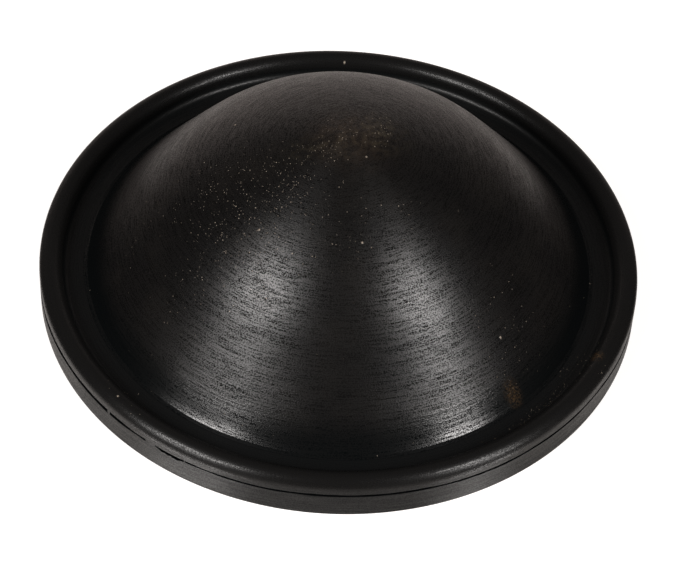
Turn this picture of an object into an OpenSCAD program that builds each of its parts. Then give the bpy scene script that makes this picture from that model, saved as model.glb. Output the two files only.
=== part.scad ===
// Domed rubber diaphragm with a flat plate and a round sealing bead, moulded in one piece.
// Millimetres. The underside of the plate lies on z = 0 and the axis of the dome is Z.

/* [Rim] */
// Outer radius of the rim
rim_radius = 50; // [45:0.5:60]
// Thickness of the flat plate between the bead and the dome
plate_thickness = 4.4; // [3.4:0.1:6]
// Width of the full-round bead on top of the rim
bead_width = 3.8; // [3:0.1:4.8]
// Height of the bead above the plate
bead_rise = 3.1; // [2.5:0.1:4.5]
// Fillet between the inner side of the bead and the plate
channel_round = 1; // [0.4:0.1:1.6]
// Rounding of the rim's lower edge
edge_round = 0.15; // [0.1:0.05:1]
// Width of the line that the mould leaves round the rim, level with the plate
parting_width = 0.24; // [0.1:0.02:0.6]
// Depth of that line
parting_depth = 0.2; // [0.1:0.05:0.5]

/* [Dome] */
// Overall height, from the underside to the top of the dome
dome_height = 33.2; // [26:0.1:40]
// Flat width of the plate between the bead and the foot of the dome
channel_width = 4; // [3:0.1:6]
// Angle of the straight flank above the plate
flank_angle = 51.8; // [46:0.1:60]
// Fillet where the flank meets the plate
foot_round = 1; // [0.3:0.1:1.4]
// Wall of the dome, the same over crown and flank
wall = 3; // [2:0.1:4.2]
// Rounding of the edge between the hollow and the underside
mouth_round = 1.5; // [0.5:0.1:2.4]

/* [Hidden] */
$fn = 128;
rubber = [0.09, 0.09, 0.09];
// Tangent curves are laid over each other by this much, so that they cross at a clear point.
lap = 0.0005;

// The bead stands at the rim, and the dome starts one channel inside it.
bead_radius = bead_width / 2;
bead_inside = rim_radius - bead_width;
bead_shoulder = plate_thickness + bead_rise - bead_radius;
foot_radius = bead_inside - channel_width;
channel_fillet = min(channel_round, bead_shoulder - plate_thickness - 0.05);
channel_centre = [bead_inside - channel_fillet, plate_thickness + channel_fillet];

// The crown is the sphere that reaches the dome's height and is tangent to the flank.
flank_normal = [sin(flank_angle), cos(flank_angle)];
crown_radius = (foot_radius * flank_normal[0] - (dome_height - plate_thickness) * flank_normal[1])
    / (1 - flank_normal[1]);
hollow_radius = crown_radius - wall;
crown_centre = [0, dome_height - crown_radius];
crown_end = crown_centre + (crown_radius - lap) * flank_normal;
hollow_end = crown_centre + (hollow_radius - lap) * flank_normal;
foot_centre = beside_flank(crown_radius + foot_round, plate_thickness + foot_round);
mouth_centre = beside_flank(hollow_radius + mouth_round, mouth_round);

// Point at height z whose distance from the crown's centre, square to the flank, is d.
function beside_flank(d, z) = [(d - flank_normal[1] * (z - crown_centre[1])) / flank_normal[0], z];

// Disc of radius r about p, cut to the box that starts at corner, which is relative to p.
module cut_disc(p, r, corner, size) {
    translate(p) intersection() {
        circle(r);
        translate(corner) square(size);
    }
}

// Outer form in half section: filled dome, plate, rim and bead.
module outer_section() {
    difference() {
        union() {
            intersection() {
                translate(crown_centre) circle(crown_radius);
                square([crown_radius + 1, dome_height + 1]);
            }
            polygon([
                [0, 0], [rim_radius - edge_round, 0], [rim_radius - edge_round, edge_round],
                [rim_radius, edge_round], [rim_radius, bead_shoulder], [bead_inside, bead_shoulder],
                [bead_inside, channel_centre[1]], channel_centre, [channel_centre[0], plate_thickness],
                [foot_centre[0], plate_thickness], foot_centre, foot_centre - foot_round * flank_normal,
                crown_end
            ]);
            cut_disc([bead_inside + bead_radius, bead_shoulder], bead_radius,
                [-bead_radius, 0], [bead_width, bead_radius]);
            cut_disc([rim_radius - edge_round, edge_round], edge_round,
                [0, -edge_round], [edge_round, edge_round]);
        }
        translate(foot_centre) circle(foot_round + lap);
        translate(channel_centre) circle(channel_fillet + lap);
    }
}

// Hollow under the dome in half section, with its mouth rounded into the underside.
module hollow_section() {
    intersection() {
        translate(crown_centre) circle(hollow_radius);
        translate([-1, -1]) square([hollow_radius + 2, dome_height + 1]);
    }
    difference() {
        polygon([
            [-1, -1], [mouth_centre[0], -1], mouth_centre,
            mouth_centre - mouth_round * flank_normal, hollow_end, [-1, 1]
        ]);
        translate(mouth_centre) circle(mouth_round + lap);
    }
}

// Line of the mould round the rim, level with the plate.
module parting_section() {
    translate([rim_radius - parting_depth, plate_thickness - parting_width / 2])
        square([parting_depth + 1, parting_width]);
}

// The one-piece diaphragm, turned about the axis.
module diaphragm() {
    color(rubber) rotate_extrude() difference() {
        outer_section();
        hollow_section();
        parting_section();
    }
}

diaphragm();
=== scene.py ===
"""Looks of a domed rubber diaphragm, moulded in one piece, as it lies on a white table with its dome up."""

import bpy
import numpy as np
from mathutils import Matrix, Vector


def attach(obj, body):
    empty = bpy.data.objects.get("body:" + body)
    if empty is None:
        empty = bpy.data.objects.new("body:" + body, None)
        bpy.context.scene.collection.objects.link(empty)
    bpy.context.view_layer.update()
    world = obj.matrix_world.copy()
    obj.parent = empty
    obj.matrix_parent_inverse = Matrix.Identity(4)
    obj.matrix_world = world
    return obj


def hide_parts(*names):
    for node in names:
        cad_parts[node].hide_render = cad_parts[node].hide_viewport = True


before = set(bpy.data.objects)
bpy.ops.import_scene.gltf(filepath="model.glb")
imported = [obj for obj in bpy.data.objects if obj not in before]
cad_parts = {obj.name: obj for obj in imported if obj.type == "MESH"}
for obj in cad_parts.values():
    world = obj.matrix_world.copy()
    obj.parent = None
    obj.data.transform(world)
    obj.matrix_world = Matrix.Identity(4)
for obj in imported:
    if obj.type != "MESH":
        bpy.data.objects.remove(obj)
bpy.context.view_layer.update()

# The diaphragm: dome, flat channel, round sealing bead and rim are one moulding of black rubber.
# The mould was turned on a lathe, so fine marks run round the dome and the bead, and the two halves
# of the mould leave a line round the side wall. It lies loose on its flat underside.
MM = 0.001
rim_radius, plate_thickness, dome_height = 50.0, 4.4, 33.2
bead_radius, bead_shoulder = 1.9, 5.6
channel_round, edge_round, mouth_round = 1.0, 0.15, 1.5
foot_radius, flank_angle, wall = 42.2, 51.8, 3.0
flank = np.radians(flank_angle)
crown_radius = (
    (foot_radius * np.sin(flank) - (dome_height - plate_thickness) * np.cos(flank)) / (1 - np.cos(flank))
)
crown_centre = dome_height - crown_radius


def beside_flank(distance, height):
    """Point at a height whose distance from the crown's centre, square to the flank, is given:
    radius = (distance - cos(flank) * (height - crown centre)) / sin(flank)."""
    return (distance - np.cos(flank) * (height - crown_centre)) / np.sin(flank), height


def arc(centre, radius, start, end, count):
    """Points of an arc: the centre plus the radius times (cos, sin) of evenly spaced angles in degrees."""
    angle = np.radians(np.linspace(start, end, count))
    return np.stack([centre[0] + radius * np.cos(angle), centre[1] + radius * np.sin(angle)], -1)


def line(start, end, count):
    """Points between two given ones, without these: start + (end - start) * share, evenly spaced."""
    share = np.linspace(0, 1, count + 2)[1:-1, None]
    return np.asarray(start) + (np.asarray(end) - np.asarray(start)) * share


crown_end = 90 - flank_angle
crown = arc((0, crown_centre), crown_radius, 90, crown_end, 34)
# The foot of the flank runs out over a narrow land of about 21 degrees, within the fillet's width.
along_foot = np.linspace(0, 0.75, 23)
foot_tilt = np.radians(np.interp(along_foot, [0, 0.1, 0.65, 0.75], [flank_angle, 21.5, 21, 0]))
outward, drop = np.cumsum([np.cos(foot_tilt), np.sin(foot_tilt)], axis=1) * along_foot[1]
foot_start = beside_flank(crown_radius, plate_thickness + drop[-1])
foot = np.stack([foot_start[0] + outward, foot_start[1] - drop], -1)
channel_edge = rim_radius - 2 * bead_radius
fillet = arc((channel_edge - channel_round, plate_thickness + channel_round), channel_round, 270, 360, 9)
bead = arc((rim_radius - bead_radius, bead_shoulder), bead_radius, 180, 0, 33)
upper_parts = [
    crown, line(crown[-1], foot[0], 8), foot, line(foot[-1], fillet[0], 5), fillet,
    line(fillet[-1], bead[0], 1), bead,
]
upper = np.concatenate(upper_parts)
edge = arc((rim_radius - edge_round, edge_round), edge_round, 0, -90, 6)
mouth = arc(
    beside_flank(crown_radius - wall + mouth_round, mouth_round), mouth_round, 270, 180 + crown_end, 9,
)
hollow = arc((0, crown_centre), crown_radius - wall, crown_end, 90, 20)
lower = np.concatenate([
    edge, line(edge[-1], mouth[0], 4), mouth, line(mouth[-1], hollow[0], 5), hollow,
])

# Columns stand closer together at the front left, where the line of the mould is torn. Azimuths are in
# degrees, with 0 at the front and 90 at the right.
turn = np.concatenate([
    np.linspace(-86, -14, 240, endpoint=False), np.linspace(-14, 274, 300, endpoint=False),
])
phase = np.radians(turn)


def ripple(rates, seed):
    """Irregular wave round the rim: the mean of sines of whole rates, each with its own phase."""
    phases = np.random.default_rng(seed).uniform(0, 2 * np.pi, len(rates))
    return np.sin(np.outer(phase, rates) + phases).mean(1)


def span(start, end, soft):
    """1 between two azimuths and 0 outside, with edges that rise as half a cosine over soft degrees."""
    rise = np.clip((turn - start) / soft + 0.5, 0, 1)
    fall = np.clip((end - turn) / soft + 0.5, 0, 1)
    return (0.5 - 0.5 * np.cos(np.pi * rise)) * (0.5 - 0.5 * np.cos(np.pi * fall))


# The line of the mould: a groove of uneven height and width. It closes three times at the front left,
# is torn open between two of these places, and is wider and lower at the far left and right.
torn = span(-32, -27.5, 1.2)
closed = span(-45.6, -44.2, 1) + span(-36, -32.6, 1.5) + span(-27.2, -26.2, 0.8)
sides = span(-98, -66, 16) + span(66, 98, 16) + span(262, 294, 16)
jagged = ripple([97, 151, 233, 311], 3)
groove_level, groove_half, groove_cut = 0.13, 0.23, 0.7
line_middle = (
    plate_thickness + groove_level + 0.12 * (span(-8, 20, 6) + span(38, 62, 8))
    + 0.03 * ripple([3, 7, 19], 1) - 0.6 * sides - torn * (0.2 + 0.1 * jagged)
)
line_half = (
    groove_half + 0.17 * span(-88, -40, 6) + 0.03 * span(-6, 20, 8) + 0.04 * span(24, 90, 8)
    + 0.2 * sides + 0.05 * ripple([23, 41, 67], 2) + torn * 0.12 * (1 + jagged)
)
line_depth = groove_cut * (1 - np.clip(closed, 0, 1)) * (1 + 0.25 * ripple([11, 31, 57], 4)) + 0.01
# Rows across the groove, in halves of its width. Its depth falls off with their sixth power.
across = np.array([1.25, 1.08, 1, 0.96, 0.85, 0.5, 0, -0.5, -0.85, -0.96, -1, -1.08, -1.25])
groove_height = line_middle + np.outer(across, line_half)
groove_radius = rim_radius - np.outer(np.maximum(1 - across ** 6, 0), line_depth)
wall_share = np.linspace(0, 1, 7)[1:-1, None]
above = bead_shoulder + (groove_height[0] - bead_shoulder) * wall_share
below = groove_height[-1] + (edge_round - groove_height[-1]) * wall_share
even = np.ones(len(turn))
radius = np.concatenate([
    np.outer(upper[:, 0], even), np.full(above.shape, rim_radius), groove_radius,
    np.full(below.shape, rim_radius), np.outer(lower[:, 0], even),
])
height = np.concatenate([
    np.outer(upper[:, 1], even), above, groove_height, below, np.outer(lower[:, 1], even),
])


def turned_surface(name, radius, height, phase):
    """Surface of revolution on a grid: x = radius sin(phase), y = -radius cos(phase), z = height.
    The first and last row lie on the axis and become one point each. Faces point outwards."""
    rows, columns = radius.shape
    grid = np.stack([radius * np.sin(phase), -radius * np.cos(phase), height], -1)[1:-1] * MM
    points = np.concatenate([
        grid.reshape(-1, 3), [[0, 0, height[0, 0] * MM], [0, 0, height[-1, 0] * MM]],
    ])
    index = np.arange((rows - 2) * columns).reshape(rows - 2, columns)
    after = np.roll(index, -1, 1)
    quads = np.stack([index[:-1], index[1:], after[1:], after[:-1]], -1).reshape(-1, 4)
    top, bottom = len(points) - 2, len(points) - 1
    caps = np.concatenate([
        np.stack([np.full(columns, top), index[0], after[0]], -1),
        np.stack([np.full(columns, bottom), after[-1], index[-1]], -1),
    ])
    mesh = bpy.data.meshes.new(name)
    mesh.from_pydata(points, [], quads.tolist() + caps.tolist())
    mesh.polygons.foreach_set("use_smooth", np.ones(len(quads) + len(caps), bool))
    return mesh


mesh = turned_surface("diaphragm_rubber", radius, height, phase)
# The turned marks follow the way along the section from the apex, in millimetres.
way = np.concatenate([[0], np.cumsum(np.hypot(np.diff(radius[:, -1]), np.diff(height[:, -1])))])
part_ends = np.cumsum([len(part) for part in upper_parts]) - 1
foot_way, bead_way, side_way = way[part_ends[[2, 5, 6]]]
values = np.concatenate([np.repeat(way[1:-1], len(turn)), [way[0], way[-1]]])
mesh.attributes.new("way", "FLOAT", "POINT").data.foreach_set("value", values.astype(np.float32))
mesh.update()
diaphragm = bpy.data.objects.new("diaphragm_rubber", mesh)
bpy.context.scene.collection.objects.link(diaphragm)


class Wire:
    """A socket of a node tree, or the bare tree. Arithmetic on it adds Math nodes."""

    def __init__(self, tree, socket=None):
        self.tree, self.socket = tree, socket

    def node(self, kind, settings=(), sockets=(), out=0):
        """Adds a node: first its settings, then the value or link of each socket."""
        made = self.tree.nodes.new(kind)
        for key, value in dict(settings).items():
            setattr(made, key, value)
        for key, value in dict(sockets).items():
            if isinstance(value, Wire):
                self.tree.links.new(value.socket, made.inputs[key])
            else:
                made.inputs[key].default_value = value
        return Wire(self.tree, made.outputs[out] if made.outputs else None)

    def outputs(self, count):
        """The first outputs of the node that this socket belongs to."""
        return [Wire(self.tree, socket) for socket in self.socket.node.outputs[:count]]

    def math(self, operation, *values):
        return self.node("ShaderNodeMath", {"operation": operation}, dict(enumerate(values)))

    def __add__(self, other):
        return self.math("ADD", self, other)

    def __sub__(self, other):
        return self.math("SUBTRACT", self, other)

    def __rsub__(self, other):
        return self.math("SUBTRACT", other, self)

    def __mul__(self, other):
        return self.math("MULTIPLY", self, other)

    def __truediv__(self, other):
        return self.math("DIVIDE", self, other)

    def __rtruediv__(self, other):
        return self.math("DIVIDE", other, self)

    __radd__, __rmul__ = __add__, __mul__

    def fade(self, start, end):
        """0 at start and 1 at end, smooth between; start may be the larger."""
        return self.node(
            "ShaderNodeMapRange", {"interpolation_type": "SMOOTHSTEP"},
            {"Value": self, "From Min": start, "From Max": end},
        )

    def flat(self, colour):
        """A plain colour."""
        made = self.node("ShaderNodeRGB")
        made.socket.default_value = (*colour, 1)
        return made

    def tint(self, colour, share):
        """This colour mixed with another by a share."""
        return self.node("ShaderNodeMix", {"data_type": "RGBA"}, {0: share, 6: self, 7: (*colour, 1)}, 2)


rubber = bpy.data.materials.new("black_rubber")
rubber.use_nodes = True
rubber.node_tree.nodes.clear()
tree = Wire(rubber.node_tree)
place = tree.node("ShaderNodeTexCoord", out=3)
x, y, z = (axis * 1000 for axis in tree.node("ShaderNodeSeparateXYZ", sockets={0: place}).outputs(3))
out = tree.math("SQRT", x * x + y * y) + 0.01
run = tree.node("ShaderNodeAttribute", {"attribute_name": "way"}, out=2)


def noise(a, b, c, detail=2.0, roughness=0.55):
    """Fractal noise of three wired coordinates, about 0 to 1 with a mean of 0.5."""
    vector = tree.node("ShaderNodeCombineXYZ", sockets={0: a, 1: b, 2: c})
    return tree.node("ShaderNodeTexNoise", sockets={
        "Vector": vector, "Scale": 1.0, "Detail": detail, "Roughness": roughness,
    })


def cloud(rate, detail, roughness):
    """Noise that is alike in all directions, with a rate per millimetre."""
    return noise(x * rate, y * rate, z * rate, detail, roughness)


dome_zone = run.fade(foot_way + 0.15, foot_way - 0.15)
near_foot = run.fade(foot_way - 8, foot_way - 2)
bead_zone = run.fade(bead_way - 0.3, bead_way + 0.5) * run.fade(side_way + 0.5, side_way - 0.5)
side_zone = run.fade(side_way - 0.5, side_way + 0.5)

# Fine turned marks, about 0.2 mm apart and a few millimetres long, with a grain over them, and broader
# bands, patches and smears.
marks = noise(x / out * 7, y / out * 7, run * 5.5, 1.0, 0.5).fade(0.36, 0.64)
grain = cloud(5.5, 0.0, 0.55).fade(0.36, 0.64)
texture = marks * 0.45 + grain * 0.65 - 0.55
bands = noise(x / out * 3, y / out * 3, run * 0.45)
patches = cloud(0.11, 3.0, 0.6)
smears = cloud(0.7, 3.0, 0.7)


def spot(spot_x, spot_y, size):
    """1 at a place seen from above and 0 from a distance of size on."""
    return tree.math("SQRT", (x - spot_x) * (x - spot_x) + (y - spot_y) * (y - spot_y)).fade(size, 0)


def trail(start_x, start_y, end_x, end_y, width):
    """1 on the line between two places seen from above and 0 from a distance of width on."""
    long_x, long_y = end_x - start_x, end_y - start_y
    share = ((x - start_x) * long_x + (y - start_y) * long_y) * (1 / (long_x * long_x + long_y * long_y))
    share = tree.math("MINIMUM", tree.math("MAXIMUM", share, 0.0), 1.0)
    off_x, off_y = x - share * long_x - start_x, y - share * long_y - start_y
    return tree.math("SQRT", off_x * off_x + off_y * off_y).fade(width, 0)


# Dust: pale grains on the upper side, dense where hands and the bench left them. Heaps are given by their
# x, y, size and weight, trails by their two ends and width, and large single grains by their x and y.
heaps = (
    (-18, -8, 13, 0.6), (-8, -9, 11, 0.7), (-3, -2, 6, 0.8), (-14, -16, 13, 0.5), (4, 3, 6, 0.7),
    (1, -18, 8, 0.35), (27, -21, 9, 0.25), (-16, 20, 8, 0.3), (13, 23, 4, 0.4), (11, 8, 4, 0.4),
    (-22, -20, 9, 0.3), (9, -13, 6, 0.3), (-30, -6, 8, 0.2), (-2, 1, 5, 0.8), (6, 4, 4, 0.5),
    (28.5, -28, 2.5, 1),
)
trails = (
    (-14, -6.2, -10.5, -4.4, 0.7), (-9.6, -9.2, -4.8, -7.3, 0.7), (-6.5, -1.4, -1, -3.4, 2.0),
)
single_grains = (
    (-33.8, -34.5), (-0.9, 46.6), (-18.1, 7), (3.5, -18.3), (26.4, -23.1), (3.5, -3.5), (-12.8, -15.8),
)
dusty = 0.012
for heap_x, heap_y, size, weight in heaps:
    dusty = spot(heap_x, heap_y, size) * weight + dusty
for ends in trails:
    dusty = trail(*ends) * 0.9 + dusty
dusty = dusty * dome_zone * smears.fade(0.3, 0.6) + 0.006
channel_ring = tree.math("ABSOLUTE", out - 45.1).fade(1.5, 0.2)
channel_dust = (
    spot(34, -30, 17) * channel_ring * 1.4 + spot(40, -21, 8) * (1 - side_zone) * 0.3
    + spot(-32, -34, 6) * 0.25
)
dusty = dusty + channel_dust * (1 - dome_zone) * 0.8
# Three sizes of cells hold one grain each at most: scale of the cells per metre, share of the cells that
# are filled, and least radius and spread of radii in millimetres.
dust = 0.0
for scale, share, least, more in (
    (3400.0, 0.75, 0.035, 0.06), (1900.0, 0.32, 0.045, 0.08), (1100.0, 0.06, 0.08, 0.1),
):
    cells = tree.node("ShaderNodeTexVoronoi", sockets={"Vector": place, "Scale": scale})
    cell_distance, cell_colour = cells.outputs(2)
    fill, spread, pale = tree.node("ShaderNodeSeparateColor", sockets={0: cell_colour}).outputs(3)
    filled = (dusty * share - fill).fade(0.0, 0.01)
    grain_radius = (spread * spread * more + least) * (scale / 1000)
    dust = (grain_radius - cell_distance).fade(0.0, 0.06) * filled * (pale * 0.7 + 0.3) + dust
for grain_x, grain_y in single_grains:
    dust = tree.math("MAXIMUM", dust, spot(grain_x, grain_y, 0.25))
dust = dust * (1 - side_zone)
# Worn and soiled places: a brownish haze and a pale film over the crown, and two brown spots at the right.
haze = spot(1, 1, 13)
haze = haze * haze * (smears.fade(0.35, 0.65) * 0.8 + 0.3) * dome_zone
film = spot(5.5, 2.5, 6.5) + spot(-1, -1, 5) * 0.7 + spot(-6.5, -2.5, 4.5) * 0.6
film = film * dome_zone * smears.fade(0.4, 0.75)
brown = (spot(28.9, -28.6, 2.2) + spot(42.5, -20.5, 1.6)) * (1 - side_zone)
brown = brown * cloud(3, 3.0, 0.7).fade(0.42, 0.62)

rubber_black, patch_black = (0.0032, 0.0031, 0.0031), (0.006, 0.0055, 0.005)
# Painted shade and sheen: from the lower flank outwards the rubber is coloured darker and bluer, and on the
# bead lighter.
foot_painted_shade, bead_painted_sheen = (0.0025, 0.003, 0.0032), (0.0058, 0.0057, 0.0056)
haze_brown, film_tan = (0.02, 0.014, 0.01), (0.05, 0.042, 0.026)
spot_brown, dust_pale = (0.08, 0.046, 0.02), (0.3, 0.25, 0.2)
colour = tree.flat(rubber_black)
for shade, share in (
    (patch_black, patches.fade(0.35, 0.75) * dome_zone), (foot_painted_shade, near_foot), (bead_painted_sheen, bead_zone),
    (haze_brown, haze), (film_tan, film * (grain * 0.8 + 0.1)), (spot_brown, brown * 0.6),
    (dust_pale, dust),
):
    colour = colour.tint(shade, share)

# The flank is smoother towards its foot, so its marks are calm there and its highlights narrow.
calm = near_foot * dome_zone
rough = 0.365 - calm * 0.125 - bead_zone * 0.07 + texture * 0.14 + (bands - 0.5) * 0.03
rough = rough + (patches - 0.5) * 0.04 + dust * 0.4 + film * 0.1
relief = texture * (dome_zone * 0.8 + bead_zone * 0.3 - calm * 0.6 + 0.2) + dust * 5
normal = tree.node("ShaderNodeBump", sockets={"Strength": 1.0, "Distance": 0.01 * MM, "Height": relief})
gloss = tree.node("ShaderNodeBsdfPrincipled", sockets={
    "Base Color": colour, "Roughness": rough, "Normal": normal, "Anisotropic": 0.576,
    "Anisotropic Rotation": 0.25, "IOR": 1.6,
})
matt = tree.node("ShaderNodeBsdfPrincipled", sockets={
    "Base Color": colour, "Roughness": 0.8, "Normal": normal, "Specular IOR Level": 0.0,
})
# The furrows between the marks have no gloss. They are deepest on the dome's front, and even out
# elsewhere. The bead is worn duller but for its outer edge, and the slit at the mould's line has no gloss.
furrows = dome_zone * (y.fade(14, -6) * 0.65 + 0.35) + (1 - dome_zone) * 0.3
worn = bead_zone * run.fade(side_way - 0.6, side_way - 1.6)
slit = out.fade(rim_radius - 0.005, rim_radius - 0.05) * z.fade(0.5, 0.8) * side_zone
dull = texture * furrows * 1.2 + 0.36 + worn * 0.27 + calm * 0.08 + slit
shader = tree.node("ShaderNodeMixShader", sockets={0: dull, 1: gloss, 2: matt})
tree.node("ShaderNodeOutputMaterial", sockets={"Surface": shader})
mesh.materials.append(rubber)
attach(diaphragm, "root")
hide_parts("diaphragm")

# The table: a plain pale floor of thick paper, white to the camera, that keeps the part's soft shadow.
# The rubber's gloss shows a strip of glazed white paper instead, which lies on it and runs from just
# before the part far to the back. Its paler places and its glow are painted light.


def lay_sheet(name, outline):
    """One flat face through the outline's points, with an empty material, and that material's nodes."""
    sheet_mesh = bpy.data.meshes.new(name)
    sheet_mesh.from_pydata(outline, [], [list(range(len(outline)))])
    sheet = bpy.data.objects.new(name, sheet_mesh)
    bpy.context.scene.collection.objects.link(sheet)
    sheet.visible_shadow = False
    paper = bpy.data.materials.new(name)
    paper.use_nodes = True
    paper.node_tree.nodes.clear()
    sheet_mesh.materials.append(paper)
    return sheet, Wire(paper.node_tree)


floor_radius, floor_level = 0.22, -0.00005
around = np.linspace(0, 2 * np.pi, 96, endpoint=False)
floor, pulp = lay_sheet("floor", np.stack([
    floor_radius * np.cos(around), floor_radius * np.sin(around), np.full(len(around), floor_level),
], -1))
floor.visible_glossy = False
dim_paper = pulp.node("ShaderNodeBsdfDiffuse", sockets={"Color": (0.52, 0.49, 0.47, 1)})
glow = pulp.node("ShaderNodeEmission", sockets={"Color": (1, 1, 1, 1), "Strength": 0.75})
glow = pulp.node("ShaderNodeMixShader", sockets={0: pulp.node("ShaderNodeLightPath"), 2: glow})
finish = pulp.node("ShaderNodeAddShader", sockets={0: dim_paper, 1: glow})
pulp.node("ShaderNodeOutputMaterial", sockets={"Surface": finish})

strip_half, strip_front, strip_back = 0.056, -0.09, 0.42
strip, pulp = lay_sheet("paper_strip", np.array([
    [-strip_half, strip_front, 0], [strip_half, strip_front, 0],
    [strip_half, strip_back, 0], [-strip_half, strip_back, 0],
]))
strip.visible_camera = strip.visible_diffuse = False
strip_place = pulp.node("ShaderNodeTexCoord", out=3)
aside, behind = pulp.node("ShaderNodeSeparateXYZ", sockets={0: strip_place}).outputs(2)
aside_squared = aside * aside
near = pulp.math("SQRT", aside_squared + behind * behind).fade(0.085, 0.052)
left, front = aside.fade(0.03, -0.03), behind.fade(0.02, -0.01)
# Painted light: the strip is paler near the part, most at its sides, and paler towards the back. It glows
# near the part, most on its left and at its sides, and from a few centimetres behind it on.
paper_grey, paper_painted_light_back, paper_painted_light_near = (0.42, 0.40, 0.39), (0.9, 0.82, 0.78), (0.9, 0.85, 0.8)
paper_colour = pulp.flat(paper_grey).tint(paper_painted_light_back, behind.fade(-0.04, 0.05))
paper_colour = paper_colour.tint(paper_painted_light_near, near * (aside_squared.fade(0.0, 0.0006) * 0.45 + 0.3))
painted_glow = near * (left * 0.7 + aside_squared.fade(0.0009, 0.0025) * 1.1) + behind.fade(0.03, 0.08) * 0.28
finish = pulp.node("ShaderNodeBsdfPrincipled", sockets={
    "Base Color": paper_colour, "Roughness": 0.2, "IOR": 1.5,
    "Coat Weight": front, "Coat IOR": 2.2, "Coat Roughness": 0.15,
    "Emission Color": pulp.flat((0, 0, 0)).tint((1, 0.95, 0.92), painted_glow), "Emission Strength": 0.5,
})
pulp.node("ShaderNodeOutputMaterial", sockets={"Surface": finish})

# The light: two soft boxes in front, left and right, and a room that is bright low at the back. A soft
# box is given by its azimuth and elevation in degrees, its width and height in metres, and its power.
lamp_distance = 1.2
for name, azimuth, elevation, wide, tall, power in (
    ("soft_box_left", -50, 40, 0.5, 0.59, 13.0), ("soft_box_right", 53.3, 36.6, 0.33, 0.7, 11.4),
):
    a, e = np.radians([azimuth, elevation])
    toward = Vector((np.sin(a) * np.cos(e), -np.cos(a) * np.cos(e), np.sin(e)))
    lamp = bpy.data.lights.new(name, "AREA")
    lamp.shape, lamp.size, lamp.size_y, lamp.energy = "RECTANGLE", wide, tall, power
    lamp.color = (1.0, 0.97, 0.95)
    box = bpy.data.objects.new(name, lamp)
    turned_in = toward.to_track_quat("Z", "Y").to_matrix().to_4x4()
    box.matrix_world = Matrix.Translation(toward * lamp_distance) @ turned_in
    bpy.context.scene.collection.objects.link(box)

room = bpy.data.worlds.new("room")
bpy.context.scene.world = room
room.use_nodes = True
room.node_tree.nodes.clear()
air = Wire(room.node_tree)
seen = air.node("ShaderNodeLightPath")
ray = air.node("ShaderNodeTexCoord")
to_right, to_back, to_top = air.node("ShaderNodeSeparateXYZ", sockets={0: ray}).outputs(3)
back_light = to_top.fade(0.96, 0.0) * (to_back - to_right * 0.08).fade(0.54, 2.65)
strength = back_light * 6.5 + 0.058
room_colour = air.flat((1.0, 0.86, 0.80)).tint((1, 1, 1), seen)
background = air.node("ShaderNodeBackground", sockets={
    "Color": room_colour, "Strength": strength * (1 - seen) + seen,
})
air.node("ShaderNodeOutputWorld", sockets={"Surface": background})

# The camera: at the photograph's angle, 450 mm away, with a long lens and a slight turn about its own
# axis. It looks 0.25 mm to the left of the middle of the underside and 0.36 mm below it.
raised, turned, distance = np.radians(47.337), np.radians(3.048), 0.45
back = np.array([0, -np.cos(raised), np.sin(raised)])
right, up = np.array([1.0, 0, 0]), np.array([0, np.sin(raised), np.cos(raised)])
right, up = np.cos(turned) * right + np.sin(turned) * up, np.cos(turned) * up - np.sin(turned) * right
camera_place = distance * back
back = camera_place + 0.246 * MM * right + 0.364 * MM * up
back = back / np.linalg.norm(back)
right = np.cross(up, back)
right /= np.linalg.norm(right)
up = np.cross(back, right)
lens = bpy.data.cameras.new("camera")
lens.sensor_width, lens.lens = 36.0, 142.33
lens.clip_start, lens.clip_end = 0.01, 20
camera = bpy.data.objects.new("camera", lens)
camera.matrix_world = Matrix(
    [[right[i], up[i], back[i], camera_place[i]] for i in range(3)] + [[0, 0, 0, 1]]
)
bpy.context.scene.collection.objects.link(camera)
bpy.context.scene.camera = camera
bpy.context.scene.view_settings.view_transform = "Standard"
